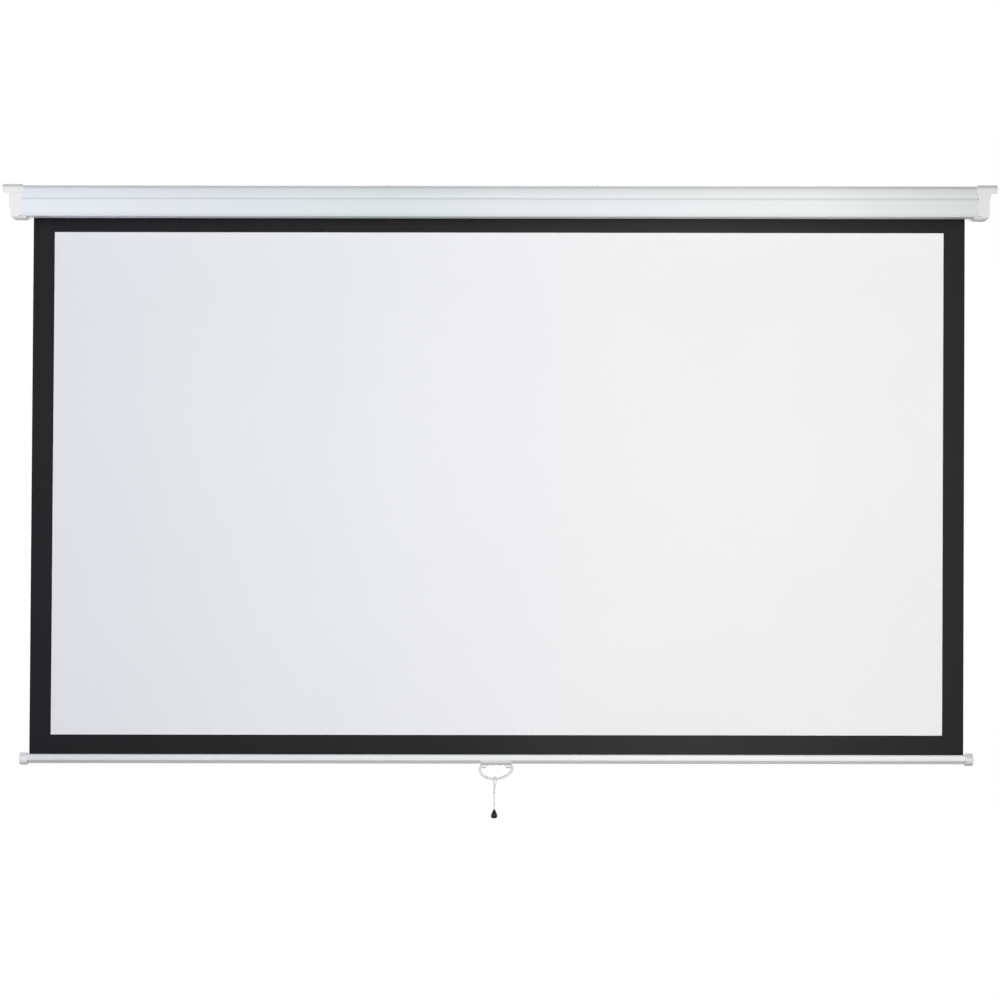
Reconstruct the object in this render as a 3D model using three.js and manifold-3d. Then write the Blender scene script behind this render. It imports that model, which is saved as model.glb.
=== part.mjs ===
// Pull down projector screen: a spring roller with a ratchet catch in a wall casing, a
// bordered screen with a weight bar, and a swinging handle with a pull cord.
// Millimetres, +Z up, +X along the casing, the front faces -Y.
// The origin is the middle of the casing's flat back.
import * as THREE from 'three';
import { mergeVertices } from 'three/addons/utils/BufferGeometryUtils.js';
import Module from 'manifold-3d';

const wasm = await Module();
wasm.setup();

// Fits and cuts
const gap = 0.3; // between pieces that seat on each other
const overrun = 2; // how far a cut runs past the face that it opens
const arcStep = THREE.MathUtils.degToRad(15); // the turn of one facet of a rounded corner

// Screen: a 100 inch picture, 16 wide to 9 high
const viewWidth = 2214;
const viewHeight = 1250;
const sideBorder = 53;
const lowerBorder = 48;
const viewDrop = 31.5; // from the casing's underside to the picture
const backingThickness = 0.4;
const faceThickness = 0.2;
const hangTop = -2; // the screen leaves its roll this far left of the casing's middle
const hangBase = -8; // and meets its bar this far left

// Casing: one roll-formed sheet, open along the rear of its underside
const caseHeight = 78;
const caseDepth = 80;
const sheet = 1;
const crownRadius = 11;
const backRadius = 3;
const hemRadius = 1.6;
const backCut = 6; // the back stops this far above the underside
const lipDepth = 36; // the underside runs this far back from the front
const lipReturn = 5;
const caseMargin = 50; // from the screen's width to the upper halves of the end caps

// End caps: mouldings that sleeve the casing
const endWall = 3;
const capWall = 1.5;
const capStep = 4; // the lower part is set in this far
const stepSlope = 11;
const stepLevels = { left: -21, right: 5 }; // the two mouldings step in at different heights
const sleeveLength = 24;
const lipWall = 1;
const lipLength = 7.5;
const footLength = 41.5;
const footCorner = 13;
const footEnd = 4;
const cavityCorner = 9;
const topCorner = 3;
const baseRadius = 5;
const chinDrop = 6.2; // the cap's front hangs this far below the rest of it
const chinDepth = 24;
const chinSlope = 22;
const chinRadius = 11;
const backRise = 4; // the underside rises this far towards the wall
const flatRun = 2.8; // from the chin to where it starts to rise
const bossRadius = 4.5;

// Hanging ears on the end caps
const earLength = 52;
const earReach = 16;
const earHeight = 22;
const earRear = 10; // the ear's height at the wall
const earRise = 0.4;
const earProud = 1.2;
const earWall = 2.5;
const earBevel = 6;
const earSeat = 1.4; // how deep the ear's root lies in the cap's wall
const earCorner = 1.5;
const slotWidth = 5;
const slotLength = 9;
const slotShares = [0.26, 0.76]; // share of the ear's depth
const wallHoleRadius = 2.6;

// Roller brackets and their screws
const bracketPlate = 2;
const bracketSize = 60;
const bracketCorner = 6;
const bracketSetback = 3.5;
const screwSpread = 30;
const screwRadius = 1.9;
const screwHole = 2.2;
const screwHead = 4;
const screwHeadHeight = 1.5;
const screwTail = 3;

// Roller
const axisRise = 3;
const tubeRadius = 19;
const tubeWall = 1;
const tubeSetback = 8;
const wrapTurns = 2;
const wrapPitch = 0.9;

// Roller plugs: a flange, a skirt in the tube and a web
const flangeRadius = 20.5;
const flangeThickness = 2.5;
const skirtWall = 1.2;
const plugDepth = 14;
const webThickness = 3;
const arborRadius = 4.5;
const arborFlat = 7;

// Ratchet catch
const toothCount = 6;
const toothRadius = 9.5;
const rootRadius = 7;
const rootShare = 0.34; // share of a tooth's pitch that lies at the root
const ratchetWidth = 7;
const ratchetInset = 3.2;
const pawlPivot = 13.6; // from the roller's axis
const pawlArm = 8.7;
const pawlNose = 1.1;
const pawlBoss = 2.5;
const pawlPin = 1.3;
const pawlWidth = 5.5;
const pawlInset = 4.2;
const liftClearance = 0.4;

// Torsion spring
const springRadius = 8;
const springWire = 0.9;
const springCurls = 16;
const springPitch = 5.6;
const springLeg = 1.8;
const collarWidth = 7;
const collarRadius = 11;
const curlSteps = 8;
const curlSides = 5;

// Idler end
const bushWall = 2.4;
const idlerHead = 6.5;
const idlerShoulder = 1.6;
const idlerTail = 2;

// Stiffener and its rivets
const stiffenerLength = 600;
const stiffenerDepth = 28;
const stiffenerThickness = 1.5;
const stiffenerFlange = 5;
const stiffenerFront = 14; // from the casing's front
const stiffenerMiddle = -20; // from the casing's middle
const rivetInset = 43; // from the strip's ends
const rivetSetback = 20; // from the casing's front
const rivetHead = 6;
const rivetHeight = 3.2;
const rivetShank = 2;
const rivetTail = 3.4;
const rivetTailHeight = 1.4;

// Weight bar
const barOverhang = 15; // past each edge of the screen
const barHeight = 23;
const barDepth = 22;
const barWall = 1.5;
const barTopRadius = 4;
const barBaseRadius = 8;
const barSlot = 3.4;
const hemRodRadius = 4;
const hemRodInset = 30;
const barCapRadius = 15.5;
const barCapLength = 20;
const barCapGrip = 12;
const barCapRound = 4;

// Handle
const saddleLength = 77;
const saddleWall = 2.2;
const saddleArm = 9;
const lugWidth = 11;
const lugInner = 25; // from the handle's middle to a lug
const lugDepth = 10;
const lugWall = 1.9;
const webLength = 10;
const webWidth = 3;
const wireRadius = 3;
const wireInset = 1; // the wire's ends stop this far short of the lugs' inner faces
const bailWidth = 86.5;
const bailDrop = 34;
const bailCorner = 5;
const bailLean = -5; // the cord draws the lowest point this far left
const bailSteps = 44;
const wireSides = 10;
const saddleScrewSpread = 18;

// Pull cord and its pull
const cordRadius = 1.1;
const knotDrop = 35;
const knotRadius = 2.6;
const cordDrop = 75.5;
const cordSides = 8;
const pullHeight = 24;
const pullRadius = 8.3;

// The cord's line from its knot, over the handle's wire and back, from the wire's lowest middle
const cordLine = [
  [0, -1.2, -34], [-0.3, -1.7, -26], [-0.5, -2.4, -19], [-0.7, -3.2, -12], [-0.8, -4, -5.5],
  [-0.8, -4.45, 0], [0.3, -3.85, 2.3], [1.4, -2.2, 3.9], [2.4, 0, 4.5],
  [3.4, 2.2, 3.95], [4.5, 3.85, 2.45], [5.5, 4.5, 0.2],
  [5.2, 4.1, -5.5], [4.2, 3.3, -12], [2.8, 2.5, -19], [1.4, 1.8, -26], [0, 1.2, -34],
];

// Levels and places worked out from the sizes
const caseTop = caseHeight / 2;
const caseBase = -caseTop;
const axisY = -caseDepth / 2;
const axisZ = axisRise;
const screenWidth = viewWidth + 2 * sideBorder;
const capEnd = screenWidth / 2 + caseMargin;
const capLow = capEnd - capStep;
const wallFace = capLow - endWall;
const sheetEnd = wallFace - cavityCorner - gap;
const sleeveIn = capEnd - sleeveLength;
const lipIn = sleeveIn - lipLength;
const footIn = capEnd - footLength;
const capTop = caseTop + gap + capWall;
const capFront = caseDepth + gap + capWall;
const lipEdge = lipDepth - caseDepth;
const chinBase = capTop + chinDrop;
const chinEnd = chinDepth + chinSlope - capFront;
const riseStart = chinEnd + flatRun;
const stiffenerEnds = [-1, 1].map((side) => stiffenerMiddle + side * stiffenerLength / 2);
const rivetSpots = [stiffenerEnds[0] + rivetInset, stiffenerEnds[1] - rivetInset];
const earTop = capTop + earRise;
const earFront = capFront + earProud;
const earOut = capEnd + earReach;
const earIn = earOut - earLength;
const bracketOut = wallFace - bracketSetback;
const bracketIn = bracketOut - bracketPlate;
const tubeEnd = bracketIn - tubeSetback;
const boreRadius = tubeRadius - tubeWall;
const rollRadius = tubeRadius + gap + backingThickness / 2 + wrapTurns * wrapPitch;
const screenY = axisY + rollRadius;
const viewTop = caseBase - viewDrop;
const viewBase = viewTop - viewHeight;
const barTop = viewBase - lowerBorder;
const barZ = barTop - barHeight / 2;
const barLength = screenWidth + 2 * barOverhang;
const hemRodZ = barTop - barWall - gap - hemRodRadius;
const saddleHalf = barDepth / 2 + gap;
const lugHole = wireRadius + gap;
const pivotZ = -barHeight / 2 - gap - saddleWall - lugHole - gap;
const bailBase = -bailDrop + wireRadius;

// Outlines

const point = (a, b) => new THREE.Vector2(a, b);

// The points of a path whose corners [a, b, radius] are rounded.
function roundedPath(corners, closed = false) {
  const points = [];
  corners.forEach(([a, b, radius], i) => {
    const here = point(a, b);
    const before = corners[(i + corners.length - 1) % corners.length];
    const after = corners[(i + 1) % corners.length];
    const end = !closed && (i === 0 || i === corners.length - 1);
    if (end || !radius) {
      points.push(here);
      return;
    }
    const back = point(before[0], before[1]).sub(here).normalize();
    const on = point(after[0], after[1]).sub(here).normalize();
    const half = Math.acos(THREE.MathUtils.clamp(back.dot(on), -1, 1)) / 2;
    const turn = Math.PI - 2 * half;
    const steps = Math.max(2, Math.ceil(turn / arcStep));
    const middle = back.clone().add(on).normalize().multiplyScalar(radius / Math.sin(half)).add(here);
    const start = back.clone().multiplyScalar(radius / Math.tan(half)).add(here).sub(middle);
    const way = Math.sign(on.clone().cross(back));
    for (let k = 0; k <= steps; k += 1) {
      points.push(start.clone().rotateAround(point(0, 0), (way * turn * k) / steps).add(middle));
    }
  });
  return points;
}

// The closed outline of a sheet that follows a path, its wall on the path's left.
function sheetOutline(path, wall) {
  const inner = path.map((here, i) => {
    const before = path[Math.max(i - 1, 0)];
    const after = path[Math.min(i + 1, path.length - 1)];
    const sides = [[before, here], [here, after]]
      .filter(([from, to]) => from !== to)
      .map(([from, to]) => to.clone().sub(from).normalize())
      .map((way) => point(-way.y, way.x));
    const side = sides.reduce((sum, next) => sum.add(next), point(0, 0)).normalize();
    return side.clone().multiplyScalar(wall / side.dot(sides[0])).add(here);
  });
  return [...path, ...inner.reverse()];
}

function ring(radius, steps, a = 0, b = 0) {
  return Array.from({ length: steps }, (_, i) => {
    const angle = (2 * Math.PI * i) / steps;
    return point(a + radius * Math.cos(angle), b + radius * Math.sin(angle));
  });
}

// A round bar with two flats, above and below.
function flattedRing(radius, flat, steps) {
  const from = Math.asin(flat / 2 / radius);
  return [0, Math.PI].flatMap((side) =>
    Array.from({ length: steps + 1 }, (_, i) => {
      const angle = side - from + (2 * from * i) / steps;
      return point(radius * Math.cos(angle), radius * Math.sin(angle));
    }));
}

function slotOutline(width, length, a, b) {
  const [halfWidth, halfLength] = [width / 2, length / 2];
  const corners = [
    [a - halfWidth, b - halfLength, halfWidth],
    [a + halfWidth, b - halfLength, halfWidth],
    [a + halfWidth, b + halfLength, halfWidth],
    [a - halfWidth, b + halfLength, halfWidth],
  ];
  return roundedPath(corners, true);
}

function rectangle(a0, a1, b0, b1, radius = 0) {
  return roundedPath([[a0, b0, radius], [a1, b0, radius], [a1, b1, radius], [a0, b1, radius]], true);
}

// Solids

// The same geometry with its faces pointing out.
function outward(geometry) {
  const shape = geometry.index ? geometry.toNonIndexed() : geometry;
  const place = shape.attributes.position;
  const [a, b, c] = [new THREE.Vector3(), new THREE.Vector3(), new THREE.Vector3()];
  let volume = 0;
  for (let i = 0; i < place.count; i += 3) {
    a.fromBufferAttribute(place, i);
    b.fromBufferAttribute(place, i + 1);
    c.fromBufferAttribute(place, i + 2);
    volume += a.dot(b.cross(c));
  }
  const bare = new THREE.BufferGeometry().setAttribute('position', place.clone());
  const merged = mergeVertices(bare);
  if (volume < 0) {
    const order = merged.index.array;
    for (let i = 0; i < order.length; i += 3) [order[i], order[i + 1]] = [order[i + 1], order[i]];
  }
  return merged;
}

function solid(geometry) {
  const shape = outward(geometry);
  return new wasm.Manifold(new wasm.Mesh({
    numProp: 3,
    vertProperties: new Float32Array(shape.attributes.position.array),
    triVerts: new Uint32Array(shape.index.array),
  }));
}

function geometryOf(manifold) {
  const mesh = manifold.getMesh();
  const geometry = new THREE.BufferGeometry();
  geometry.setAttribute('position', new THREE.BufferAttribute(mesh.vertProperties, 3));
  geometry.setIndex(new THREE.BufferAttribute(mesh.triVerts, 1));
  return geometry;
}

const unit = {
  x: new THREE.Vector3(1, 0, 0),
  y: new THREE.Vector3(0, 1, 0),
  z: new THREE.Vector3(0, 0, 1),
};
const frames = {
  x: new THREE.Matrix4().makeBasis(unit.y, unit.z, unit.x), // outline in Y and Z
  y: new THREE.Matrix4().makeBasis(unit.x, unit.z, unit.y.clone().negate()), // in X and Z
  z: new THREE.Matrix4().makeBasis(unit.x, unit.y, unit.z), // in X and Y
};

// An outline drawn out along an axis, from its lower end to its upper end.
function prism(outline, axis, low, high, holes = []) {
  const shape = new THREE.Shape(outline);
  shape.holes = holes.map((hole) => new THREE.Path(hole));
  const geometry = new THREE.ExtrudeGeometry(shape, { depth: high - low, bevelEnabled: false });
  geometry.applyMatrix4(frames[axis]);
  const start = axis === 'y' ? high : low;
  return geometry.translate(...unit[axis].clone().multiplyScalar(start).toArray());
}

// A closed profile of [along, radius] turned about the X axis.
function turned(profile, steps = 36) {
  const points = profile.map(([along, radius]) => point(radius, along));
  return new THREE.LatheGeometry(points, steps).rotateZ(-Math.PI / 2);
}

// A tube with a hole through it, between two places along X.
function turnedRing(from, to, inner, outer, steps = 36) {
  return turned([[from, inner], [from, outer], [to, outer], [to, inner], [from, inner]], steps);
}

function turnedRod(from, to, radius, steps = 24) {
  return turned([[from, 0], [from, radius], [to, radius], [to, 0]], steps);
}

const joined = (...pieces) => pieces.reduce((sum, next) => sum.add(next));
const cutBy = (body, ...tools) => tools.reduce((left, tool) => left.subtract(tool), body);

function mirrored(geometry) {
  return outward(geometry.clone().scale(-1, 1, 1));
}

// The least distance between parts of a tube that are not neighbours along it.
function leastGap(rings, neighbours) {
  let least = Infinity;
  rings.forEach((one, i) => rings.slice(i + neighbours).forEach((other) => {
    one.forEach((p) => other.forEach((q) => {
      least = Math.min(least, p.distanceTo(q));
    }));
  }));
  return least;
}

// Materials

function finish(color, roughness, metalness = 0) {
  return new THREE.MeshStandardMaterial({ color, roughness, metalness });
}

const enamel = finish(0xe4e8ee, 0.42);
const moulding = finish(0xf1f1f5, 0.5);
const barEnamel = finish(0xdfe2e4, 0.4);
const blackBack = finish(0x17171a, 0.85);
const matteWhite = finish(0xeeeff1, 0.9);
const steel = finish(0xb9bcc0, 0.35, 0.9);
const zinc = finish(0xa9adb3, 0.4, 0.8);
const springSteel = finish(0x7d8086, 0.35, 0.9);
const nylon = finish(0xd9d6cc, 0.55);
const castZinc = finish(0x9ea1a6, 0.5, 0.7);
const cordWhite = finish(0xf0f0ee, 0.8);
const glossBlack = finish(0x0c0c0d, 0.15);

const screen = new THREE.Group();
screen.name = 'pull_down_projector_screen';

function put(name, shape, material, parent = screen, x = 0, y = 0, z = 0) {
  const geometry = shape.isBufferGeometry ? outward(shape) : geometryOf(shape);
  const mesh = new THREE.Mesh(geometry, material);
  mesh.name = name;
  mesh.position.set(x, y, z);
  parent.add(mesh);
  return mesh;
}

function groupAt(x, y, z, parent = screen) {
  const group = new THREE.Group();
  group.position.set(x, y, z);
  parent.add(group);
  return group;
}

// Casing

// The front below the crown: shares of the depth, of the height and of the crown's radius
const frontShares = [
  [0.951, 0, 1],
  [0.994, 0.393, 0.13],
  [0.966, 0.42, 0.09],
  [0.966, 0.455, 0.09],
  [1, 0.482, 0.13],
  [1, 0.905, 0.22],
  [0.986, 0.927, 0.09],
  [0.993, 0.95, 0.13],
  [0.978, 1, 0.29],
];

function casingPath() {
  const front = frontShares.map(([depth, height, radius]) =>
    [-depth * caseDepth, caseTop - height * caseHeight, radius * crownRadius]);
  return roundedPath([
    [0, caseBase + backCut, 0],
    [0, caseTop, backRadius],
    ...front,
    [lipEdge, caseBase, hemRadius],
    [lipEdge, caseBase + lipReturn, 0],
  ]);
}

function casing() {
  const shell = solid(prism(sheetOutline(casingPath(), sheet), 'x', -sheetEnd, sheetEnd));
  const holes = rivetSpots.map((x) => solid(prism(
    ring(rivetShank + gap, 16, x, rivetSetback - caseDepth), 'z', caseTop - sheet - overrun, caseTop + overrun)));
  return cutBy(shell, ...holes);
}

put('case_shell', casing(), enamel);

// Stiffener strip under the casing's top, held by two domed rivets

const stiffenerTop = caseTop - sheet - gap;
const rivetY = rivetSetback - caseDepth;

function stiffener() {
  const front = stiffenerFront - rivetSetback;
  const back = front + stiffenerDepth;
  const path = roundedPath([
    [back, -stiffenerFlange, 0],
    [back, 0, hemRadius],
    [front, 0, hemRadius],
    [front, -stiffenerFlange, 0],
  ]);
  const strip = prism(sheetOutline(path, stiffenerThickness), 'x', ...stiffenerEnds);
  const holes = rivetSpots.map((x) => solid(prism(
    ring(rivetShank + gap, 16, x, 0), 'z', -stiffenerThickness - overrun, overrun)));
  return cutBy(solid(strip), ...holes);
}

// Rivet along X: the head from 0 back, then the shank and the upset tail.
function rivet() {
  const grip = sheet + stiffenerThickness + 3 * gap;
  const domeSteps = 5;
  const dome = Array.from({ length: domeSteps + 1 }, (_, i) => {
    const angle = (Math.PI / 2) * (i / domeSteps);
    return [-rivetHeight * Math.cos(angle), rivetHead * Math.sin(angle)];
  });
  return turned([
    ...dome,
    [0, rivetShank],
    [grip, rivetShank],
    [grip, rivetTail],
    [grip + rivetTailHeight, rivetTail],
    [grip + rivetTailHeight, 0],
  ], 16);
}

put('top_stiffener', stiffener(), zinc, screen, 0, rivetY, stiffenerTop);
rivetSpots.forEach((x, i) => {
  const mesh = put(['top_rivet_left', 'top_rivet_right'][i], rivet(), steel, screen, x, rivetY, caseTop + gap);
  mesh.rotation.y = Math.PI / 2;
});

// End caps

// The chin under a cap's front, as corners in Y and Z, from the front back
const chin = [
  [-capFront, -chinBase, chinRadius],
  [chinDepth - capFront, -chinBase, chinRadius / 2],
  [chinEnd, -capTop, chinRadius / 2],
];

// A cap's outline in Y and Z, open or closed at the wall, its underside rising towards it.
function capOutline(grow, corner, back, below = null) {
  const front = -(caseDepth + gap + grow);
  const top = caseTop + gap + grow;
  const base = below || [[front, -top, baseRadius + grow]];
  return roundedPath([
    [back, top, 0], [front, top, corner], ...base, [riseStart, -top, 0], [back, backRise - top, 0],
  ], true);
}

// A cap's outline in X and Z: the lower part is set in, and both lower corners are rounded.
function capSilhouette(step, start, top, base, inset, endCorner, baseCorner) {
  const [upper, lower] = [capEnd - inset, capLow - inset];
  const slope = stepSlope / 2;
  return roundedPath([
    [start, -base, endCorner],
    [lower, -base, baseCorner],
    [lower, step - slope, topCorner],
    [upper, step + slope, topCorner],
    [upper, top, topCorner],
    [start, top, 0],
  ], true);
}

function earOutline() {
  const corners = [
    [earIn, earTop - earHeight, 0],
    [earOut, earTop - earHeight, earCorner],
    [earOut, earTop, earCorner],
    [earIn + earBevel, earTop, earBevel / 2],
    [earIn, earTop - earBevel, earCorner],
  ];
  return roundedPath(corners, true);
}

function ear() {
  const section = roundedPath([
    [0, earTop, 0],
    [-earFront, earTop, crownRadius + capWall],
    [-earFront, earTop - earHeight, earCorner / 2],
    [0, earTop - earRear, 0],
  ], true);
  const block = solid(prism(section, 'x', earIn - overrun, earOut + overrun))
    .intersect(solid(prism(earOutline(), 'y', -earFront - overrun, overrun)));
  const seat = capWall - earSeat;
  const capBody = solid(prism(capOutline(seat, crownRadius + seat, overrun), 'x',
    earIn - 2 * overrun, capEnd - earSeat));
  const hollow = solid(prism(roundedPath([
    [-earWall, earTop - earWall, 0],
    [earWall - earFront, earTop - earWall, crownRadius + capWall - earWall],
    [earWall - earFront, earTop - earHeight - overrun, 0],
    [-earWall, earTop - earHeight - overrun, 0],
  ], true), 'x', capEnd - overrun, earOut - earWall));
  const slotX = capEnd + (earReach - earWall) / 2;
  const slots = slotShares.map((share) => solid(prism(
    slotOutline(slotWidth, slotLength, slotX, -share * earFront),
    'z', earTop - earWall - overrun, earTop + overrun)));
  const holeZ = earTop - (earRear + earWall) / 2;
  const wallHole = solid(prism(ring(wallHoleRadius, 16, slotX, holeZ), 'y', -earWall - overrun, overrun));
  return cutBy(block, capBody, hollow, ...slots, wallHole);
}

const screwLevels = [axisZ + screwSpread / 2, axisZ - screwSpread / 2];
const wallAt = (z, step) => (z > step ? capEnd : capLow);

// The strip that a cap's underside sends in below the casing, which the cap's cavity trims
function footOutline() {
  const front = capWall - caseDepth;
  return roundedPath([
    [front, overrun + capWall - capTop, 0],
    [front, -chinBase, chinRadius - capWall],
    ...chin.slice(1),
    [riseStart, -capTop, 0],
    [0, backRise - capTop, 0],
    [0, overrun + capWall + backRise - capTop, 0],
  ], true);
}

// A right-hand cap that steps in at one level; the left-hand one is mirrored.
function endCap(step) {
  const body = solid(prism(capOutline(capWall, crownRadius + capWall, 0, chin), 'x', sleeveIn, capEnd));
  const foot = solid(prism(footOutline(), 'x', footIn, sleeveIn + overrun));
  const shape = capSilhouette(step, footIn, capTop, chinBase, 0, footEnd, footCorner);
  const outside = joined(body, foot).intersect(solid(prism(shape, 'y', -capFront - overrun, overrun)));
  const lip = solid(prism(capOutline(lipWall, crownRadius + lipWall, 0), 'x', lipIn, sleeveIn + overrun));
  const cavityTop = capTop - capWall;
  const cavity = capSilhouette(step, footIn - overrun, cavityTop, cavityTop, endWall, 0, cavityCorner);
  const inside = solid(prism(capOutline(0, crownRadius, overrun), 'x', footIn - overrun, capEnd))
    .intersect(solid(prism(cavity, 'y', -capFront, 2 * overrun)));
  const bosses = screwLevels.map((z) => solid(
    turnedRod(bracketOut + gap, wallAt(z, step) - endWall / 2, bossRadius, 20).translate(0, axisY, z)));
  const holes = screwLevels.map((z) => solid(
    turnedRod(bracketOut - overrun, capEnd + overrun, screwHole, 20).translate(0, axisY, z)));
  const shell = joined(cutBy(joined(outside, lip), inside), ...bosses, ear());
  return cutBy(shell, ...holes);
}

put('end_cap_left', mirrored(geometryOf(endCap(stepLevels.left))), moulding);
put('end_cap_right', endCap(stepLevels.right), moulding);

// Screws: the head from 0 back, the shank along +X
function screw(length) {
  return turned([
    [-screwHeadHeight, 0],
    [-screwHeadHeight, screwHead / 2],
    [-screwHeadHeight / 2, screwHead],
    [0, screwHead],
    [0, screwRadius],
    [length, screwRadius],
    [length, 0],
  ], 12);
}

screwLevels.forEach((z, i) => {
  const level = ['upper', 'lower'][i];
  const [left, right] = [stepLevels.left, stepLevels.right].map((step) => wallAt(z, step) + gap);
  const reach = screwTail - bracketIn;
  put(`cap_screw_left_${level}`, screw(left + reach), steel, screen, -left, axisY, z);
  put(`cap_screw_right_${level}`, screw(right + reach), steel, screen, right, axisY, z).rotation.z = Math.PI;
});

// Everything about the roller's axis

const roller = groupAt(0, axisY, axisZ);

// A bracket in its own place along X, with a hole for the arbor or the idler pin
function bracket(hole, x) {
  const half = bracketSize / 2;
  const holes = [hole, ring(screwHole, 16, 0, screwSpread / 2), ring(screwHole, 16, 0, -screwSpread / 2)];
  return prism(rectangle(-half, half, -half, half, bracketCorner), 'x', x, x + bracketPlate, holes);
}

put('roller_bracket_left', bracket(flattedRing(arborRadius + gap, arborFlat + 2 * gap, 8), -bracketOut),
  zinc, roller);
put('roller_bracket_right', bracket(ring(arborRadius + gap, 24), bracketIn), zinc, roller);

put('roller_tube', turnedRing(-tubeEnd, tubeEnd, boreRadius, tubeRadius, 40), zinc, roller);

// The screen's last turns on the tube, a spiral that leaves it on the wall side
function wraps() {
  const steps = 36;
  const total = wrapTurns * steps;
  const spiral = (side) => Array.from({ length: total + 1 }, (_, i) => {
    const share = i / total;
    const radius = rollRadius - wrapTurns * wrapPitch * (1 - share) + side * backingThickness / 2;
    const angle = -2 * Math.PI * wrapTurns * (1 - share);
    return point(radius * Math.cos(angle), -radius * Math.sin(angle));
  });
  return prism([...spiral(1), ...spiral(-1).reverse()], 'x', hangTop - screenWidth / 2, hangTop + screenWidth / 2);
}

put('screen_wraps', wraps(), blackBack, roller);

// Spring end: every place along X is measured inward from the tube's left end

const springEnd = groupAt(-tubeEnd, 0, 0, roller);
const webIn = plugDepth - webThickness;
const skirtOuter = boreRadius - gap;
const cavityRadius = skirtOuter - skirtWall;
const bearing = arborRadius + gap;

function pawlCarrier() {
  const body = solid(turned([
    [-gap - flangeThickness, cavityRadius],
    [-gap - flangeThickness, flangeRadius],
    [-gap, flangeRadius],
    [-gap, skirtOuter],
    [plugDepth, skirtOuter],
    [plugDepth, bearing],
    [webIn, bearing],
    [webIn, cavityRadius],
    [-gap - flangeThickness, cavityRadius],
  ], 28));
  const pins = [1, -1].map((side) => solid(
    turnedRod(pawlInset - gap, webIn + webThickness / 2, pawlPin, 16).translate(0, 0, side * pawlPivot)));
  return joined(body, ...pins);
}

put('pawl_carrier', pawlCarrier(), nylon, springEnd);

// The pawl's geometry, by the law of cosines in the triangle axis, pivot and nose
const noseLifted = toothRadius + pawlNose + liftClearance;
const noseDown = rootRadius + pawlNose + gap;
const armAngle = (reach) =>
  Math.acos((pawlPivot ** 2 + pawlArm ** 2 - reach ** 2) / (2 * pawlPivot * pawlArm));
const nosePlace = (reach) => Math.asin((pawlArm * Math.sin(armAngle(reach))) / reach);
const toothFace = nosePlace(noseDown) + Math.asin((pawlNose + gap) / noseDown);

// Lifted pawl, its pivot at the origin, its nose down and towards the front
function pawl() {
  const angle = armAngle(noseLifted);
  const nose = point(-pawlArm * Math.sin(angle), -pawlArm * Math.cos(angle));
  const bossSteps = 14;
  const noseSteps = 6;
  const along = Math.atan2(nose.y, nose.x);
  const spread = Math.acos((pawlBoss - pawlNose) / pawlArm);
  const arc = (middle, radius, from, to, steps) => Array.from({ length: steps + 1 }, (_, i) => {
    const turn = from + ((to - from) * i) / steps;
    return point(middle.x + radius * Math.cos(turn), middle.y + radius * Math.sin(turn));
  });
  const outline = [
    ...arc(nose, pawlNose, along - spread, along + spread, noseSteps),
    ...arc(point(0, 0), pawlBoss, along + spread, along - spread + 2 * Math.PI, bossSteps),
  ];
  return prism(outline, 'x', 0, pawlWidth, [ring(pawlPin + gap, 16)]);
}

put('pawl_upper', pawl(), castZinc, springEnd, pawlInset, 0, pawlPivot);
put('pawl_lower', pawl(), castZinc, springEnd, pawlInset, 0, -pawlPivot).rotation.x = Math.PI;

// Saw teeth: a radial face, then a ramp down to the root before the next face
function ratchet() {
  const pitch = (2 * Math.PI) / toothCount;
  const rampSteps = 6;
  const at = (angle, radius) => point(-radius * Math.sin(angle), radius * Math.cos(angle));
  const outline = Array.from({ length: toothCount }, (_, tooth) => tooth).flatMap((tooth) => {
    const face = toothFace + tooth * pitch;
    const ramp = Array.from({ length: rampSteps + 1 }, (_, i) => {
      const share = i / rampSteps;
      return at(face + share * (1 - rootShare) * pitch, toothRadius + share * (rootRadius - toothRadius));
    });
    const floor = [1, 2, 3].map((i) => at(face + (1 - rootShare * (1 - i / 3)) * pitch, rootRadius));
    return [...ramp, ...floor];
  });
  const bore = flattedRing(arborRadius + gap, arborFlat + 2 * gap, 8);
  return prism(outline, 'x', 0, ratchetWidth, [bore]);
}

put('ratchet_wheel', ratchet(), castZinc, springEnd, ratchetInset, 0, 0);

// The fixed arbor: two flats as far as the web, then round to the far plug
const collarIn = plugDepth + gap;
const springIn = collarIn + collarWidth + gap;
const springLength = springCurls * springPitch + 2 * springLeg;
const driverIn = springIn + springLength + gap;
const arborOut = -(tubeSetback + bracketPlate + bracketSetback / 2);

function arbor() {
  const flats = solid(prism(flattedRing(arborRadius, arborFlat, 8), 'x', arborOut, webIn - gap));
  const round = solid(prism(ring(arborRadius, 24), 'x', webIn - gap - overrun, driverIn + plugDepth));
  const trimmed = cutBy(round, solid(prism(ring(arborRadius + gap, 24), 'x', webIn - 2 * overrun, webIn - gap)));
  return joined(flats, trimmed);
}

put('spring_arbor', arbor(), steel, springEnd);
put('spring_anchor', turnedRing(collarIn, collarIn + collarWidth, bearing, collarRadius), castZinc, springEnd);

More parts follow.
